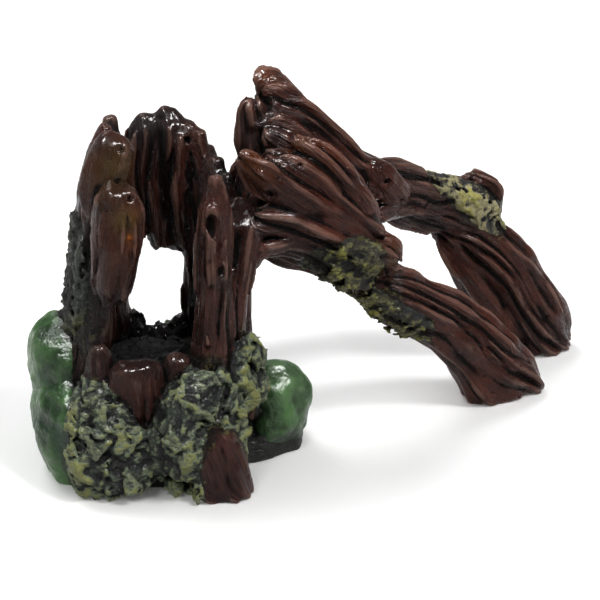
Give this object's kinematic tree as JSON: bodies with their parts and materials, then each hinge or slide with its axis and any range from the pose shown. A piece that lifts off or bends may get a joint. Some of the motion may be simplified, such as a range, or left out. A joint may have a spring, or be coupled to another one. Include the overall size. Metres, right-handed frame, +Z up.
{
  "type": "resin cave ornament",
  "caption": "Hollow tree-stump cave on mossy rocks, with a torn log leaning from it on two legs, in glossy painted resin for an aquarium or pond.",
  "frame": {"origin": "middle of the ornament's footprint on the tank floor", "axes": "+Z up, +X from the stump towards the log's feet, +Y towards the back"},
  "size_m": [0.2066, 0.077, 0.1139],
  "materials": {
    "wood_paint": "glossy dark red-brown paint on cast resin, near-black in the grooves, dry-brushed paler on the ridges",
    "green_rock_paint": "glossy mid-green paint on cast resin with darker and bluish stains",
    "mossy_rock_paint": "crumbly dark grey-green paint with yellow-green dry brushing, half gloss",
    "moss_paint": "crumbly pale yellow-green paint over dark grey-green",
    "dark_base_paint": "near-black wash, half gloss",
    "rubble_paint": "near-black crumbly paint"
  },
  "bodies": {
    "root": {"stump_left_wall": "wood_paint", "stump_back_left_stave": "wood_paint", "stump_back_right_wall": "wood_paint", "stump_back_lintel": "wood_paint", "stump_back_sill": "wood_paint", "stump_right_column": "wood_paint", "stump_front_post": "wood_paint", "front_left_stave": "wood_paint", "hanging_bark_slab": "wood_paint", "front_stub_left": "wood_paint", "front_stub_broad": "wood_paint", "front_stub_middle": "wood_paint", "log_trunk": "wood_paint", "log_horn": "wood_paint", "log_upper_splinter": "wood_paint", "log_middle_splinter": "wood_paint", "log_grey_splinter": "wood_paint", "log_front_splinter": "wood_paint", "log_lower_strand": "wood_paint", "log_arch_strand": "wood_paint", "front_leg": "wood_paint", "rear_branch": "wood_paint", "rear_branch_knot": "wood_paint", "rear_leg": "wood_paint", "rear_stub": "wood_paint", "front_root_toe": "wood_paint", "left_upper_rock": "green_rock_paint", "left_lower_rock": "green_rock_paint", "right_rock": "green_rock_paint", "back_left_rock": "green_rock_paint", "front_left_mossy_rock": "mossy_rock_paint", "front_mossy_rock": "mossy_rock_paint", "post_foot_rubble": "mossy_rock_paint", "back_right_mossy_rock": "mossy_rock_paint", "moss_on_log": "moss_paint", "moss_on_front_leg": "moss_paint", "moss_on_rear_branch": "moss_paint", "moss_on_stump": "moss_paint", "foot_slab": "dark_base_paint", "cave_floor": "rubble_paint"}
  },
  "joints": []
}
